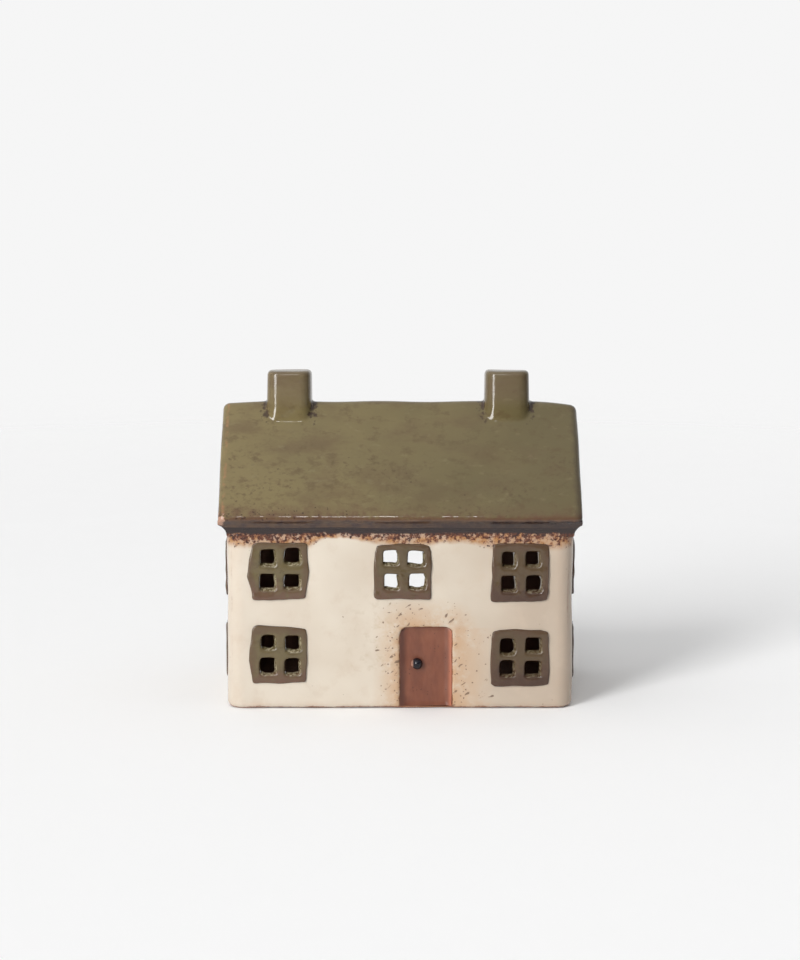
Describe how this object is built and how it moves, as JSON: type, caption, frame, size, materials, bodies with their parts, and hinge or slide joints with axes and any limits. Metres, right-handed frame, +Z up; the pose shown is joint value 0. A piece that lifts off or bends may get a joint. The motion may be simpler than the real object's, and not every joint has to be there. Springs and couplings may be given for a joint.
{
  "type": "tealight house",
  "caption": "Small glazed stoneware house with pierced windows and an arched opening at the back, which holds a tealight so that its light shows through the panes.",
  "frame": {"origin": "on the table under the middle of the house", "axes": "+X to the right along the ridge seen from the front, -Y out of the front door, +Z up"},
  "size_m": [0.13, 0.0748, 0.1193],
  "materials": {
    "wall_glaze": "glossy cream glaze with brown specks",
    "roof_glaze": "glossy mottled olive glaze breaking to brown at edges",
    "eaves_glaze": "dark brown glaze run into the joint",
    "window_glaze": "glossy olive brown glaze",
    "door_glaze": "satin terracotta glaze",
    "knob_glaze": "glossy black",
    "bare_clay": "unglazed fired stoneware",
    "cup_metal": "thin bright pressed foil",
    "wax": "smooth translucent paraffin wax",
    "wick_cotton": "waxed braided cotton",
    "sustainer_metal": "tinned sheet"
  },
  "bodies": {
    "house": {"back_eaves_coil": "eaves_glaze", "back_roof_slab": "roof_glaze", "back_wall": "wall_glaze", "door_knob": "knob_glaze", "floor_slab": "bare_clay", "front_door": "door_glaze", "front_eaves_coil": "eaves_glaze", "front_roof_slab": "roof_glaze", "front_wall": "wall_glaze", "left_chimney": "roof_glaze", "left_gable": "wall_glaze", "left_gable_lower_back_window": "window_glaze", "left_gable_lower_front_window": "window_glaze", "left_gable_upper_back_window": "window_glaze", "left_gable_upper_front_window": "window_glaze", "left_rake_coil": "eaves_glaze", "lower_left_window": "window_glaze", "lower_right_window": "window_glaze", "right_chimney": "roof_glaze", "right_gable": "wall_glaze", "right_gable_lower_back_window": "window_glaze", "right_gable_lower_front_window": "window_glaze", "right_gable_upper_back_window": "window_glaze", "right_gable_upper_front_window": "window_glaze", "right_rake_coil": "eaves_glaze", "upper_left_window": "window_glaze", "upper_middle_window": "window_glaze", "upper_right_window": "window_glaze"},
    "tealight": {"tealight_cup": "cup_metal", "tealight_wax": "wax", "tealight_wick": "wick_cotton", "wick_sustainer": "sustainer_metal"}
  },
  "joints": [
    {"name": "tealight_slide", "type": "slide", "parent": "house", "child": "tealight", "axis": [0, 1, 0], "range_m": [0, 0.065]}
  ]
}
